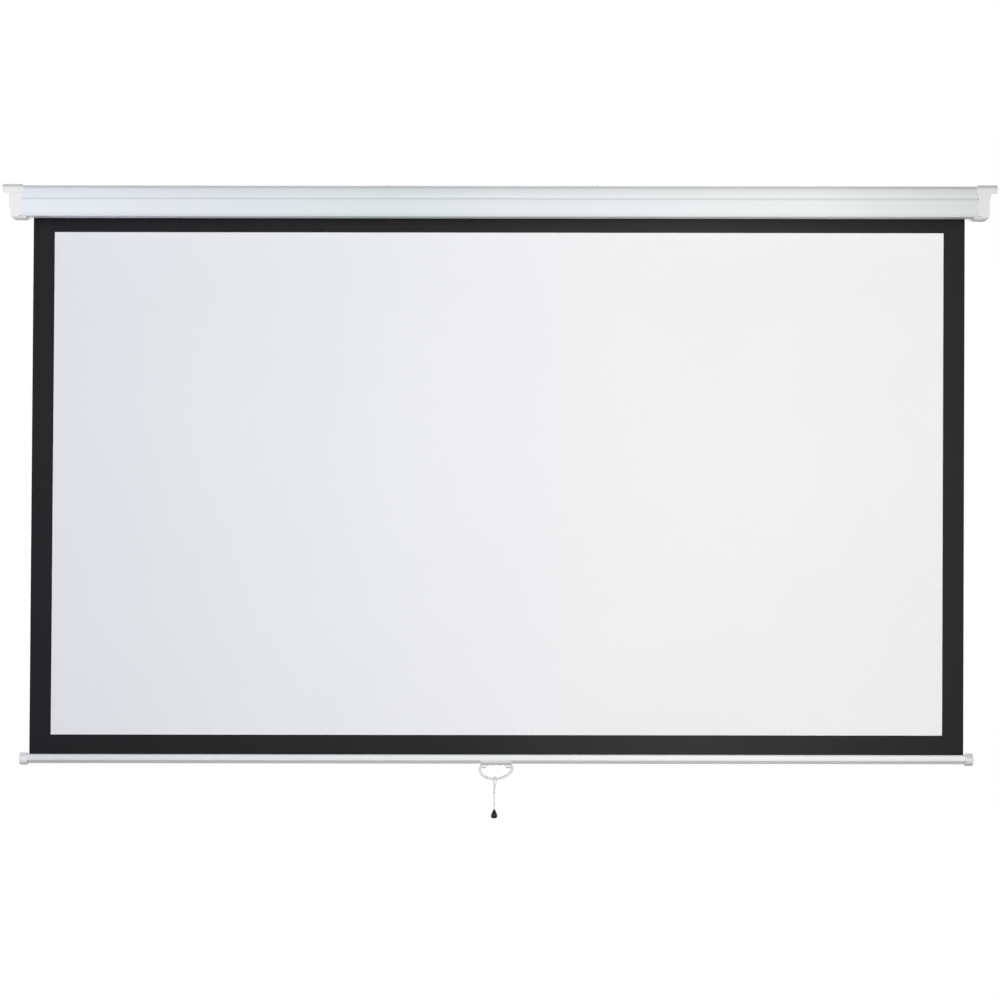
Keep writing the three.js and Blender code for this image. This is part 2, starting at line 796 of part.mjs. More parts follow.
// One unbroken wire: a straight leg at each end, square to what it meets
function torsionSpring() {
  const curl = (i) => (2 * Math.PI * i) / curlSteps;
  const steps = springCurls * curlSteps;
  const line = Array.from({ length: steps + 1 }, (_, i) => ({
    x: springIn + springLeg + (springPitch * i) / curlSteps,
    angle: curl(i),
  }));
  const path = [
    { x: springIn, angle: 0 },
    ...line,
    { x: springIn + springLength, angle: curl(steps) },
  ];
  const centre = path.map(({ x, angle }) =>
    new THREE.Vector3(x, springRadius * Math.cos(angle), springRadius * Math.sin(angle)));
  const rings = centre.map((middle, i) => {
    const ahead = centre[Math.min(i + 1, centre.length - 1)];
    const behind = centre[Math.max(i - 1, 0)];
    const isEnd = i === 0 || i === centre.length - 1;
    const way = isEnd ? unit.x.clone() : ahead.clone().sub(behind).normalize();
    const out = new THREE.Vector3(0, Math.cos(path[i].angle), Math.sin(path[i].angle));
    const side = way.clone().cross(out).normalize();
    const up = side.clone().cross(way);
    return Array.from({ length: curlSides }, (_, k) => {
      const turn = (2 * Math.PI * k) / curlSides;
      return middle.clone()
        .addScaledVector(up, springWire * Math.cos(turn))
        .addScaledVector(side, springWire * Math.sin(turn));
    });
  });
  console.log(`torsion_spring: least gap to itself ${leastGap(rings, curlSteps / 2).toFixed(2)} mm`);
  const places = [...rings.flat(), centre[0], centre[centre.length - 1]];
  const index = [];
  const at = (i, k) => i * curlSides + (k % curlSides);
  for (let i = 0; i + 1 < rings.length; i += 1) {
    for (let k = 0; k < curlSides; k += 1) {
      index.push(at(i, k), at(i + 1, k), at(i, k + 1));
      index.push(at(i, k + 1), at(i + 1, k), at(i + 1, k + 1));
    }
  }
  const [first, last] = [places.length - 2, places.length - 1];
  for (let k = 0; k < curlSides; k += 1) {
    index.push(first, at(0, k), at(0, k + 1));
    index.push(last, at(rings.length - 1, k + 1), at(rings.length - 1, k));
  }
  const geometry = new THREE.BufferGeometry();
  geometry.setAttribute('position', new THREE.Float32BufferAttribute(places.flatMap((p) => p.toArray()), 3));
  return geometry.setIndex(index);
}

put('torsion_spring', torsionSpring(), springSteel, springEnd);
put('spring_driver', turnedRing(driverIn, driverIn + plugDepth, bearing, skirtOuter), nylon, springEnd);

// Idler end: every place along X is measured inward from the tube's right end, mirrored

const idlerEnd = groupAt(tubeEnd, 0, 0, roller);
const bushOuter = bearing + bushWall;

function idlerPlug() {
  const hub = bushOuter + gap;
  const shoulder = hub + skirtWall;
  return turned([
    [gap, hub],
    [gap + flangeThickness, hub],
    [gap + flangeThickness, flangeRadius],
    [gap, flangeRadius],
    [gap, skirtOuter],
    [-plugDepth, skirtOuter],
    [-plugDepth, cavityRadius],
    [-webThickness, cavityRadius],
    [-webThickness, shoulder],
    [-plugDepth, shoulder],
    [-plugDepth, hub],
    [gap, hub],
  ], 24);
}

put('idler_plug', idlerPlug(), nylon, idlerEnd);
put('idler_bush', turnedRing(-plugDepth, gap + flangeThickness, bearing, bushOuter, 32),
  finish(0x2b2b2d, 0.5), idlerEnd);

// The pin is riveted in its bracket: shoulder inside, upset head outside
function idlerPin() {
  const inner = tubeSetback - gap;
  const outer = tubeSetback + bracketPlate + gap;
  return turned([
    [-plugDepth, 0],
    [-plugDepth, arborRadius],
    [inner - idlerShoulder, arborRadius],
    [inner - idlerShoulder, idlerHead],
    [inner, idlerHead],
    [inner, arborRadius],
    [outer, arborRadius],
    [outer, idlerHead],
    [outer + idlerTail, arborRadius],
    [outer + idlerTail, 0],
  ], 24);
}

put('idler_pin', idlerPin(), steel, idlerEnd);

// Screen: a black sheet from the roll to the bar, with the white picture face on its front

const sheetTop = axisZ - gap;
const sheetBase = hemRodZ + hemRodRadius + gap;
const backingFront = screenY - backingThickness / 2;
const hangAt = (z) => THREE.MathUtils.mapLinear(z, sheetBase, sheetTop, hangBase, hangTop);

// The sheet hangs a little to the left on its way down.
function hung(width, low, high) {
  const edge = (side, z) => point(hangAt(z) + (side * width) / 2, z);
  return [edge(-1, low), edge(1, low), edge(1, high), edge(-1, high)];
}

put('screen_backing', prism(hung(screenWidth, sheetBase, sheetTop),
  'y', backingFront, backingFront + backingThickness), blackBack);
put('screen_face', prism(hung(viewWidth, viewBase, viewTop),
  'y', backingFront - faceThickness, backingFront), matteWhite);

// Weight bar, every place measured from the middle of the bar

const bar = groupAt(hangBase, screenY, barZ);

function barPath(grow = 0) {
  const [half, top] = [barDepth / 2 + grow, barHeight / 2 + grow];
  return [
    [-half, top, barTopRadius + grow],
    [-half, -top, barBaseRadius + grow],
    [half, -top, barBaseRadius + grow],
    [half, top, barTopRadius + grow],
  ];
}

const saddleScrewSpots = [-saddleScrewSpread / 2, saddleScrewSpread / 2];

function weightBar() {
  const path = roundedPath([
    [-barSlot / 2, barHeight / 2, 0],
    ...barPath(),
    [barSlot / 2, barHeight / 2, 0],
  ]);
  const tube = solid(prism(sheetOutline(path, barWall), 'x', -barLength / 2, barLength / 2));
  const holes = saddleScrewSpots.map((x) => solid(prism(
    ring(screwHole, 16, x, 0), 'z', -barHeight / 2 - overrun, -barHeight / 2 + barWall + overrun)));
  return cutBy(tube, ...holes);
}

put('weight_bar', weightBar(), barEnamel, bar);
put('hem_rod', turnedRod(-barLength / 2 + hemRodInset, barLength / 2 - hemRodInset, hemRodRadius, 16),
  steel, bar, 0, 0, hemRodZ - barZ);

// A barrel shaped cap with a socket for the bar's right end
function barCap() {
  const [end, half] = [barCapLength - barCapGrip, barLength / 2];
  const waist = barCapRadius - barCapRound / 2;
  const barrel = turned([
    [-barCapGrip, 0],
    [-barCapGrip, waist],
    [-barCapGrip + barCapRound / 2, barCapRadius],
    [end - barCapRound, barCapRadius],
    [end - barCapRound / 3, waist],
    [end, waist - barCapRound],
    [end, 0],
  ], 28).translate(half, 0, 0);
  const socket = prism(roundedPath(barPath(gap), true), 'x', half - barCapGrip - overrun, half + gap);
  return cutBy(solid(barrel), solid(socket));
}

const barCapGeometry = outward(geometryOf(barCap()));
put('bar_cap_left', mirrored(barCapGeometry), moulding, bar);
put('bar_cap_right', barCapGeometry, moulding, bar);

// Handle saddle: cradles the underside of the bar and carries two lugs

function saddle() {
  const base = -barHeight / 2 - gap;
  const corner = barBaseRadius + gap;
  const path = roundedPath([
    [-saddleHalf, base + saddleArm, 0],
    [-saddleHalf, base, corner],
    [saddleHalf, base, corner],
    [saddleHalf, base + saddleArm, 0],
  ]);
  const cradle = solid(prism(sheetOutline(path, -saddleWall), 'x', -saddleLength / 2, saddleLength / 2));
  const lugFoot = pivotZ - lugHole - lugWall;
  const lugOutline = roundedPath([
    [-lugDepth / 2, base - saddleWall / 2, 0],
    [-lugDepth / 2, lugFoot, lugDepth / 2 - gap],
    [lugDepth / 2, lugFoot, lugDepth / 2 - gap],
    [lugDepth / 2, base - saddleWall / 2, 0],
  ], true);
  const lug = solid(prism(lugOutline, 'x', lugInner, lugInner + lugWidth));
  const web = solid(prism([
    point(lugInner + gap, base - saddleWall / 2),
    point(lugInner - webLength, base - saddleWall / 2),
    point(lugInner + gap, lugFoot + lugWall),
  ], 'y', -webWidth / 2, webWidth / 2));
  const bore = solid(prism(ring(lugHole, 20, 0, pivotZ), 'x',
    lugInner + wireInset - gap, lugInner + lugWidth + overrun));
  const arm = cutBy(joined(lug, web), bore);
  const holes = saddleScrewSpots.map((x) => solid(prism(
    ring(screwHole, 16, x, 0), 'z', base - saddleWall - overrun, base + overrun)));
  return cutBy(joined(cradle, arm, arm.mirror(unit.x.toArray())), ...holes);
}

put('handle_saddle', saddle(), moulding, bar);
saddleScrewSpots.forEach((x, i) => {
  const seat = -barHeight / 2 - gap - saddleWall - gap;
  const mesh = put(['saddle_screw_left', 'saddle_screw_right'][i],
    screw(saddleWall + barWall + 2 * gap + screwTail), steel, bar, x, 0, seat);
  mesh.rotation.y = -Math.PI / 2;
});

// Handle: a bent wire whose ends turn in through the lugs

const handle = groupAt(0, 0, pivotZ, bar);

function bailLine() {
  const reach = bailWidth / 2 - wireRadius;
  const shoulder = reach - bailCorner;
  const [cornerSteps, curveSteps] = [5, 14];
  const end = lugInner + wireInset;
  const start = [end, (end + shoulder) / 2];
  const drop = -bailBase - bailCorner;
  const right = [
    ...start.map((x) => [x, 0]),
    ...Array.from({ length: cornerSteps }, (_, i) => {
      const angle = (Math.PI / 2) * (1 - i / cornerSteps);
      return [shoulder + bailCorner * Math.cos(angle), bailCorner * (Math.sin(angle) - 1)];
    }),
  ];
  const curve = Array.from({ length: 2 * curveSteps + 1 }, (_, i) => {
    const angle = (Math.PI * i) / (2 * curveSteps);
    const down = Math.sin(angle);
    return [reach * Math.cos(angle) + bailLean * down, -bailCorner - drop * down];
  });
  const left = right.map(([x, z]) => [-x, z]).reverse();
  return [...right, ...curve, ...left].map(([x, z]) => new THREE.Vector3(x, 0, z));
}

function tubeAlong(points, radius, sides, steps) {
  const path = new THREE.CatmullRomCurve3(points, false, 'centripetal');
  return new THREE.ExtrudeGeometry(new THREE.Shape(ring(radius, sides)), { steps, extrudePath: path });
}

put('pull_handle', tubeAlong(bailLine(), wireRadius, wireSides, bailSteps), moulding, handle);

// Pull cord: doubled over the handle, knotted, then single to the pull

const cord = groupAt(bailLean, 0, bailBase, handle);

function pullCord() {
  const loop = cordLine.map((place) => new THREE.Vector3(...place));
  const half = Math.floor(loop.length / 2);
  const front = tubeAlong(loop.slice(0, half + 1), cordRadius, cordSides, 16);
  const back = tubeAlong(loop.slice(half).reverse(), cordRadius, cordSides, 16);
  const ball = new THREE.SphereGeometry(knotRadius, 10, 6).translate(0, 0, -knotDrop);
  const tail = prism(ring(cordRadius, cordSides), 'z', -cordDrop + gap, -knotDrop);
  const bend = new THREE.SphereGeometry(cordRadius, cordSides, 6).translate(...loop[half].toArray());
  return joined(solid(front), solid(back), solid(bend), solid(ball), solid(tail));
}

put('pull_cord', pullCord(), cordWhite, cord);

// The pull's outline from its top down: shares of its height and of its radius
const pullShares = [
  [0, 0], [0, 0.24], [0.08, 0.33], [0.2, 0.47], [0.36, 0.68], [0.52, 0.88],
  [0.66, 0.99], [0.78, 0.98], [0.88, 0.86], [0.95, 0.64], [1, 0.36], [1, 0],
];

function cordPull() {
  const profile = pullShares.map(([height, radius]) => point(radius * pullRadius, -height * pullHeight));
  return new THREE.LatheGeometry(profile, 28).rotateX(Math.PI / 2);
}

put('cord_pull', cordPull(), glossBlack, cord, 0, 0, -cordDrop);

export default screen;
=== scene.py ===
import math
import bmesh
import bpy
from mathutils import Matrix, Vector


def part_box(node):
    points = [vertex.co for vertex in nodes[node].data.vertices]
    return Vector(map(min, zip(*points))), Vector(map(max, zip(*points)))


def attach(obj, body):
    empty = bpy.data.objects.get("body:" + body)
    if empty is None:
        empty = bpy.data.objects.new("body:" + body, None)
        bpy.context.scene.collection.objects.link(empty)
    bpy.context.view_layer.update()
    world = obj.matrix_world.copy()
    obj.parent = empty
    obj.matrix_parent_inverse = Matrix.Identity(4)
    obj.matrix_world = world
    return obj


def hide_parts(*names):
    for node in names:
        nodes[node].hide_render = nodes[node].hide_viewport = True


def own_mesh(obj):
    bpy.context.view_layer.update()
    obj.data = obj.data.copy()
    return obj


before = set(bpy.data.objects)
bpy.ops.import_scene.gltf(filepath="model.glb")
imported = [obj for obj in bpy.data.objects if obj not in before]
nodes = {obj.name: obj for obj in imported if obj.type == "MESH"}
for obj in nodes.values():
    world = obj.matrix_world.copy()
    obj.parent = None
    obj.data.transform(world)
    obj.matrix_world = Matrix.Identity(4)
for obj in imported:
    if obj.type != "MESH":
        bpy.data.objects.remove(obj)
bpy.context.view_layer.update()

mm = 0.001
scene = bpy.context.scene


# Small steps that the pieces share

def deselectAll():
    bpy.ops.object.select_all(action="DESELECT")


def choose(piece):
    deselectAll()
    piece.select_set(True)
    bpy.context.view_layer.objects.active = piece


def startEdit(piece):
    choose(piece)
    bpy.ops.object.mode_set(mode="EDIT")


def endEdit():
    bpy.ops.object.mode_set(mode="OBJECT")


def pick(piece, test):
    # the edges whose two ends pass the test, which takes a vertex's place
    bpy.ops.mesh.select_mode(type="VERT")
    bpy.ops.mesh.select_all(action="DESELECT")
    shape = bmesh.from_edit_mesh(piece.data)
    for vertex in shape.verts:
        vertex.select = test(vertex.co)
    shape.select_flush(True)
    bmesh.update_edit_mesh(piece.data)
    bpy.ops.mesh.select_mode(type="EDGE")


def modify(piece, kind, **settings):
    choose(piece)
    modifier = piece.modifiers.new(kind.lower(), kind)
    for name, value in settings.items():
        setattr(modifier, name, value)
    bpy.ops.object.modifier_apply(modifier=modifier.name)


def settle(piece, name):
    # the piece's place goes into its mesh
    choose(piece)
    bpy.ops.object.transform_apply(location=True, rotation=True, scale=True)
    piece.name = name
    piece.data.name = name
    return piece


# creases up to these angles, in degrees, are shaded smooth
foldAngle = 30
windingAngle = 40
roundAngle = 60


def smooth(piece, angle):
    choose(piece)
    bpy.ops.object.shade_smooth_by_angle(angle=math.radians(angle))


pickReach = 0.02 * mm


def near(a, b):
    return abs(a - b) < pickReach


def dress(piece, material, body, slot, *replaced):
    piece.data.materials.clear()
    piece.data.materials.append(material)
    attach(piece, body)
    if replaced:
        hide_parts(*replaced)
    return piece


easing = {
    # the triangles' corners closer than this are joined, and faces flatter than this are made one
    "join": 0.002 * mm,
    "flat": 0.5,
    # edges sharper than this are rounded, and creases up to the last angle are shaded smooth
    "sharp": 40,
    "segments": 5,
    "smooth": 25,
}


def finerCopy(nodeName, name, edge):
    # a CAD node's shape with its flat faces whole again, kept flat in shading, and its edges eased
    deselectAll()
    source = nodes[nodeName]
    piece = source.copy()
    piece.data = source.data.copy()
    piece.parent = None
    piece.matrix_world = source.matrix_world
    scene.collection.objects.link(piece)
    startEdit(piece)
    bpy.ops.mesh.select_all(action="SELECT")
    bpy.ops.mesh.remove_doubles(threshold=easing["join"])
    bpy.ops.mesh.dissolve_limited(angle_limit=math.radians(easing["flat"]))
    endEdit()
    modify(piece, "BEVEL", width=edge, segments=easing["segments"], limit_method="ANGLE",
           angle_limit=math.radians(easing["sharp"]), use_clamp_overlap=True)
    smooth(piece, easing["smooth"])
    modify(piece, "WEIGHTED_NORMAL", keep_sharp=True)
    piece.name = name
    return piece


# Camera

cameraPlace = {
    "lens": 79.6,
    "sensor": 36,
    "sight": 100,
    # right and height are from the frame's origin, away is in front of the picture
    "right": 0.5 * mm,
    "away": 5500 * mm,
    "height": -810.5 * mm,
    # degrees up and round
    "pitch": 0.77,
    "roll": 0.08,
}

faceLow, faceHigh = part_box("screen_face")
deselectAll()
bpy.ops.object.camera_add()
camera = bpy.context.object
camera.name = "photoCamera"
camera.data.lens = cameraPlace["lens"]
camera.data.sensor_width = cameraPlace["sensor"]
camera.data.clip_end = cameraPlace["sight"]
camera.location = (cameraPlace["right"], faceLow.y - cameraPlace["away"], cameraPlace["height"])
turn = Matrix.Rotation(math.radians(90 + cameraPlace["pitch"]), 4, "X")
camera.matrix_world = (Matrix.Translation(camera.location) @ turn
                       @ Matrix.Rotation(math.radians(cameraPlace["roll"]), 4, "Z"))
scene.camera = camera
print("camera set")


# Materials

def newMaterial(name):
    material = bpy.data.materials.new(name)
    material.use_nodes = True
    tree = material.node_tree
    return material, tree, tree.nodes["Principled BSDF"]


def setSockets(shader, values):
    for name, value in values.items():
        shader.inputs[name].default_value = value


def addNoise(tree, scale, detail, stretch=(1, 1, 1)):
    place = tree.nodes.new("ShaderNodeTexCoord")
    mapping = tree.nodes.new("ShaderNodeMapping")
    mapping.inputs["Scale"].default_value = stretch
    noise = tree.nodes.new("ShaderNodeTexNoise")
    noise.inputs["Scale"].default_value = scale
    noise.inputs["Detail"].default_value = detail
    tree.links.new(place.outputs["Object"], mapping.inputs["Vector"])
    tree.links.new(mapping.outputs["Vector"], noise.inputs["Vector"])
    return noise


def addRamp(tree, source, low, high, start=0.3, end=0.7):
    ramp = tree.nodes.new("ShaderNodeValToRGB")
    ramp.color_ramp.elements[0].position = start
    ramp.color_ramp.elements[1].position = end
    ramp.color_ramp.elements[0].color = (*low, 1)
    ramp.color_ramp.elements[1].color = (*high, 1)
    tree.links.new(source, ramp.inputs["Fac"])
    return ramp


def addRange(tree, source, low, high, start=0, end=1):
    # low where the source is at start, high where it is at end
    spread = tree.nodes.new("ShaderNodeMapRange")
    spread.inputs["From Min"].default_value = start
    spread.inputs["From Max"].default_value = end
    spread.inputs["To Min"].default_value = low
    spread.inputs["To Max"].default_value = high
    tree.links.new(source, spread.inputs["Value"])
    return spread.outputs["Result"]


def addBump(tree, shader, source, depth):
    bump = tree.nodes.new("ShaderNodeBump")
    bump.inputs["Distance"].default_value = depth
    bump.inputs["Strength"].default_value = 1
    tree.links.new(source, bump.inputs["Height"])
    tree.links.new(bump.outputs["Normal"], shader.inputs["Normal"])


def addGloss(tree, shader, noise, roughness, less, more):
    # the roughness wanders below and above its level
    gloss = addRange(tree, noise.outputs["Fac"], roughness - less, roughness + more)
    tree.links.new(gloss, shader.inputs["Roughness"])


def shade(colour, factor):
    return tuple(min(1, channel * factor) for channel in colour)


tintShape = {
    # metres either side of the middle, where the colours along X end
    "reach": 1.25,
    # the normal's Z at which a face counts as facing up, and down, for the painted shade, and the share of
    # it where the change begins
    "facing": (0.6, -0.7),
    "facingShare": 0.2,
}


def addTintAndPaintedLight(tree, shader, noise, stops, mottle, paintedShade=(1, 1)):
    # the colour goes from stop to stop along the object, which paints light as well as tint, and the noise
    # darkens it by up to mottle; the last argument gives the shares of it left on what faces up and on what
    # faces down, a painted shade
    place = tree.nodes.new("ShaderNodeTexCoord")
    parts = tree.nodes.new("ShaderNodeSeparateXYZ")
    tree.links.new(place.outputs["Object"], parts.inputs["Vector"])
    reach = tintShape["reach"]
    share = addRange(tree, parts.outputs["X"], 0, 1, -reach, reach)
    ramp = tree.nodes.new("ShaderNodeValToRGB")
    tree.links.new(share, ramp.inputs["Fac"])
    elements = ramp.color_ramp.elements
    for _ in stops[2:]:
        elements.new(0.5)  # anywhere between the two ends, until it is placed below
    for element, (x, colour) in zip(elements, stops):
        element.position = (x + reach) / (2 * reach)
        element.color = (*colour, 1)
    patches = addRamp(tree, noise.outputs["Fac"], (1 - mottle,) * 3, (1, 1, 1))
    mix = tree.nodes.new("ShaderNodeMix")
    mix.data_type = "RGBA"
    mix.blend_type = "MULTIPLY"
    mix.inputs["Factor"].default_value = 1
    tree.links.new(ramp.outputs["Color"], mix.inputs["A"])
    tree.links.new(patches.outputs["Color"], mix.inputs["B"])
    colour = mix.outputs["Result"]
    # painted shade: faces that point up and faces that point down are darkened by how far their normal
    # turns
    if paintedShade != (1, 1):
        facing = tree.nodes.new("ShaderNodeSeparateXYZ")
        tree.links.new(place.outputs["Normal"], facing.inputs["Vector"])
        for left, end in zip(paintedShade, tintShape["facing"]):
            shadeFactor = addRange(tree, facing.outputs["Z"], 1, left, tintShape["facingShare"] * end, end)
            scaled = tree.nodes.new("ShaderNodeVectorMath")
            scaled.operation = "SCALE"
            tree.links.new(colour, scaled.inputs["Vector"])
            tree.links.new(shadeFactor, scaled.inputs["Scale"])
            colour = scaled.outputs["Vector"]
    tree.links.new(colour, shader.inputs["Base Color"])


# in the looks below, a noise is a scale and a detail, and gloss is how far the roughness
# falls below its level and rises above it
enamelLook = {
    "drift": (2.5, 2),
    "mottle": 0.015,
    "peel": (900, 2),
    "peelDepth": 0.012 * mm,
    "patches": (40, 4),
    "gloss": (0.04, 0.06),
    "sockets": {"Metallic": 0, "Specular IOR Level": 0.3, "Coat Weight": 0.05, "Coat Roughness": 0.25},
}


def enamelMaterial(name, stops, roughness, paintedShade):
    # baked paint: a faint orange peel, and painted shade that darkens what faces up and what faces down
    material, tree, shader = newMaterial(name)
    addTintAndPaintedLight(tree, shader, addNoise(tree, *enamelLook["drift"]), stops, enamelLook["mottle"], paintedShade)
    addBump(tree, shader, addNoise(tree, *enamelLook["peel"]).outputs["Fac"], enamelLook["peelDepth"])
    addGloss(tree, shader, addNoise(tree, *enamelLook["patches"]), roughness, *enamelLook["gloss"])
    setSockets(shader, enamelLook["sockets"])
    return material


mouldingLook = {
    "drift": (18, 3),
    "mottle": 0.03,
    "spark": (1600, 3),
    "sparkDepth": 0.02 * mm,
    "patches": (120, 2),
    "gloss": (0.05, 0.07),
}


def mouldingMaterial(name, stops, roughness, paintedShade=(1, 1)):
    # moulded plastic: a fine spark grain and slightly uneven gloss, and, where the last argument asks for
    # it, painted shade on what faces up and what faces down
    material, tree, shader = newMaterial(name)
    addTintAndPaintedLight(tree, shader, addNoise(tree, *mouldingLook["drift"]), stops, mouldingLook["mottle"], paintedShade)
    addBump(tree, shader, addNoise(tree, *mouldingLook["spark"]).outputs["Fac"], mouldingLook["sparkDepth"])
    addGloss(tree, shader, addNoise(tree, *mouldingLook["patches"]), roughness, *mouldingLook["gloss"])
    return material


metalLook = {
    "lines": (60, 4),
    "shades": (0.86, 1.05),
    "lineDepth": 0.01 * mm,
    "patches": (90, 3),
    "gloss": (0.08, 0.12),
    "sockets": {"Metallic": 1},
}


def metalMaterial(name, colour, roughness, brushed=(1, 30, 30)):
    # plated, rolled or cast metal: a grain drawn out along the axis where brushed is least,
    # and spotty gloss
    material, tree, shader = newMaterial(name)
    lines = addNoise(tree, *metalLook["lines"], brushed)
    dark, light = metalLook["shades"]
    ramp = addRamp(tree, lines.outputs["Fac"], shade(colour, dark), shade(colour, light))
    tree.links.new(ramp.outputs["Color"], shader.inputs["Base Color"])
    addGloss(tree, shader, addNoise(tree, *metalLook["patches"]), roughness, *metalLook["gloss"])
    addBump(tree, shader, lines.outputs["Fac"], metalLook["lineDepth"])
    setSockets(shader, metalLook["sockets"])
    return material


clothLook = {
    "threadPitch": 0.7 * mm,
    "wander": 0.6,
    "fuzz": 1,
    "threadDepth": 0.03 * mm,
    "drift": (1.3, 3),
    "mottle": 0.025,
    "patches": (6, 3),
    "gloss": (0.04, 0.05),
}

waveScale = 0.314  # a wave texture of this scale has one band to each metre, near enough


def combine(tree, operation, first, second):
    # two heights as one, or the second alone where there is no first
    if first is None:
        return second
    both = tree.nodes.new("ShaderNodeMath")
    both.operation = operation
    tree.links.new(first, both.inputs[0])
    tree.links.new(second, both.inputs[1])
    return both.outputs["Value"]


def clothMaterial(name, stops, roughness, specular):
    # coated cloth: crossed threads under the coating, and a slow drift of colour that is partly painted
    # light
    material, tree, shader = newMaterial(name)
    place = tree.nodes.new("ShaderNodeTexCoord")
    height = None
    for axis in ("X", "Z"):
        wave = tree.nodes.new("ShaderNodeTexWave")
        wave.bands_direction = axis
        wave.inputs["Scale"].default_value = waveScale / clothLook["threadPitch"]
        wave.inputs["Distortion"].default_value = clothLook["wander"]
        wave.inputs["Detail"].default_value = clothLook["fuzz"]
        tree.links.new(place.outputs["Object"], wave.inputs["Vector"])
        height = combine(tree, "MULTIPLY", height, wave.outputs["Fac"])
    addBump(tree, shader, height, clothLook["threadDepth"])
    addTintAndPaintedLight(tree, shader, addNoise(tree, *clothLook["drift"]), stops, clothLook["mottle"])
    addGloss(tree, shader, addNoise(tree, *clothLook["patches"]), roughness, *clothLook["gloss"])
    setSockets(shader, {"Specular IOR Level": specular})
    return material


cordLook = {
    "pitch": 0.9 * mm,
    "lean": 35,
    "shade": 0.8,
    "ramp": (0.1, 0.9),
    "strandDepth": 0.15 * mm,
    "sockets": {"Roughness": 0.8, "Sheen Weight": 0.2},
}


def cordMaterial(name, colour):
    # braid: two sets of bands that lean to either side and cross, with painted shade in the grooves between
    # strands
    material, tree, shader = newMaterial(name)
    place = tree.nodes.new("ShaderNodeTexCoord")
    height = None
    for lean in (cordLook["lean"], -cordLook["lean"]):
        mapping = tree.nodes.new("ShaderNodeMapping")
        mapping.inputs["Rotation"].default_value = (0, math.radians(lean), 0)
        wave = tree.nodes.new("ShaderNodeTexWave")
        wave.bands_direction = "Z"
        wave.inputs["Scale"].default_value = waveScale / cordLook["pitch"]
        tree.links.new(place.outputs["Object"], mapping.inputs["Vector"])
        tree.links.new(mapping.outputs["Vector"], wave.inputs["Vector"])
        height = combine(tree, "MAXIMUM", height, wave.outputs["Fac"])
    ramp = addRamp(tree, height, shade(colour, cordLook["shade"]), colour, *cordLook["ramp"])
    tree.links.new(ramp.outputs["Color"], shader.inputs["Base Color"])
    addBump(tree, shader, height, cordLook["strandDepth"])
    setSockets(shader, cordLook["sockets"])
    return material


glossLook = {
    "drift": (60, 2),
    "shades": (0.8, 1.2),
    "patches": (200, 3),
    "roughness": 0.1,
    "gloss": (0, 0.1),
    "sockets": {"Specular IOR Level": 0.12, "Coat Weight": 0.08, "Coat Roughness": 0.05},
}


def glossMaterial(name, colour):
    # polished dark plastic: a slow drift of colour, and a gloss that handling has dulled in spots
    material, tree, shader = newMaterial(name)
    drift = addNoise(tree, *glossLook["drift"])
    dark, light = glossLook["shades"]
    ramp = addRamp(tree, drift.outputs["Fac"], shade(colour, dark), shade(colour, light))
    tree.links.new(ramp.outputs["Color"], shader.inputs["Base Color"])
    patches = addNoise(tree, *glossLook["patches"])
    addGloss(tree, shader, patches, glossLook["roughness"], *glossLook["gloss"])
    setSockets(shader, glossLook["sockets"])
    return material


# a painted or moulded colour is a list of places along X, in metres, and the colour there
# the stops are partly the paint's own drift and partly painted light: lighter where more light falls,
# darker where less falls
caseEnamel = enamelMaterial("caseEnamel", [(-1.15, (0.84, 0.88, 0.95)), (-0.85, (0.76, 0.80, 0.85)),
                                           (-0.25, (0.68, 0.73, 0.74)), (0.25, (0.75, 0.77, 0.78)),
                                           (0.8, (0.79, 0.81, 0.81)), (1.15, (0.68, 0.70, 0.70))],
                           roughness=0.42, paintedShade=(0.82, 0.86))
barEnamel = enamelMaterial("barEnamel", [(-1.15, (0.76, 0.78, 0.81)), (0, (0.80, 0.82, 0.82)),
                                         (0.6, (0.86, 0.87, 0.87)), (1.15, (0.81, 0.82, 0.82))],
                           roughness=0.36, paintedShade=(0.9, 0.8))
whiteMoulding = mouldingMaterial("whiteMoulding", [(-1.2, (0.88, 0.88, 0.90)), (-0.6, (0.8, 0.81, 0.82)),
                                                   (0.6, (0.78, 0.79, 0.79)), (1.2, (0.72, 0.73, 0.72))],
                                 roughness=0.45, paintedShade=(0.8, 0.72))
paleMoulding = mouldingMaterial("paleMoulding", [(-1.2, (0.74, 0.75, 0.76)), (1.2, (0.74, 0.75, 0.75))],
                                roughness=0.4, paintedShade=(0.9, 0.75))
# the lighter stop near 0.5 m is a painted reflection on the black border
blackCloth = clothMaterial("blackCloth", [(-1.15, (0.008, 0.008, 0.010)), (-0.2, (0.009, 0.009, 0.010)),
                                          (0.5, (0.023, 0.022, 0.021)), (1.15, (0.009, 0.009, 0.009))],
                           roughness=0.5, specular=0.1)
whiteCloth = clothMaterial("whiteCloth", [(-1.15, (0.82, 0.83, 0.88)), (-0.4, (0.815, 0.825, 0.855)),
                                          (0.3, (0.865, 0.865, 0.875)), (1.15, (0.88, 0.88, 0.88))],
                           roughness=0.9, specular=0.3)
platedSteel = metalMaterial("platedSteel", (0.62, 0.63, 0.65), roughness=0.3)
zincSheet = metalMaterial("zincSheet", (0.55, 0.57, 0.6), roughness=0.42, brushed=(1, 8, 8))
springSteel = metalMaterial("springSteel", (0.35, 0.36, 0.38), roughness=0.35, brushed=(30, 1, 1))
castZinc = metalMaterial("castZinc", (0.5, 0.51, 0.53), roughness=0.55, brushed=(6, 6, 6))
nylon = mouldingMaterial("nylon", [(-1.2, (0.72, 0.71, 0.66)), (1.2, (0.71, 0.7, 0.65))], roughness=0.5)
blackNylon = mouldingMaterial("blackNylon", [(-1.2, (0.025, 0.025, 0.028)),
                                             (1.2, (0.024, 0.024, 0.027))], roughness=0.45)
whiteCord = cordMaterial("whiteCord", (0.65, 0.65, 0.65))
glossBlack = glossMaterial("glossBlack", (0.006, 0.006, 0.007))

